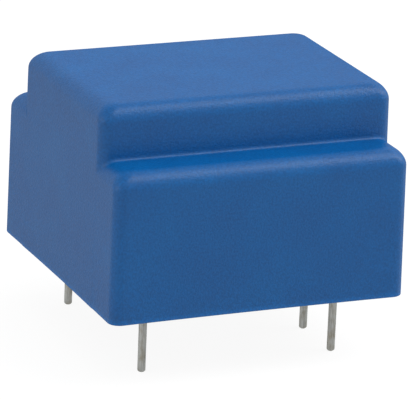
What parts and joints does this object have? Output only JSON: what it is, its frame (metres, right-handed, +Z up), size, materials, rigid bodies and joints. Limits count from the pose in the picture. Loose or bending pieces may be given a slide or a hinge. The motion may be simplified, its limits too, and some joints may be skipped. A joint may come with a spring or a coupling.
{
  "type": "pcb transformer",
  "caption": "Small potted mains transformer for a printed circuit board: a stepped blue moulded case with round tinned pins standing out of its resin-filled underside.",
  "frame": {"origin": "centre of the seating plane, where the rim of the case meets the board", "axes": "+Z up out of the board through the case, +X from the row of primary pins to the row of secondary pins, +Y along the rows"},
  "size_m": [0.0228, 0.0226, 0.0202],
  "materials": {
    "case": "satin moulded",
    "resin": "satin cast",
    "bobbin": "moulded",
    "core": "punched",
    "copper": "enamelled copper",
    "tape": "film",
    "solder": "solder",
    "pin": "dull tin"
  },
  "bodies": {
    "root": {"case": "case", "potting_resin": "resin", "bobbin": "bobbin", "core_stack_left": "core", "core_stack_right": "core", "primary_winding": "copper", "inner_secondary_winding": "copper", "outer_secondary_winding": "copper", "primary_tape": "tape", "secondary_tape": "tape", "solder_joints": "solder", "pin_1": "pin", "lead_1": "copper", "pin_4": "pin", "lead_4": "copper", "pin_5": "pin", "lead_5": "copper", "pin_6": "pin", "lead_6": "copper", "pin_7": "pin", "lead_7": "copper", "pin_8": "pin", "lead_8": "copper"}
  },
  "joints": []
}
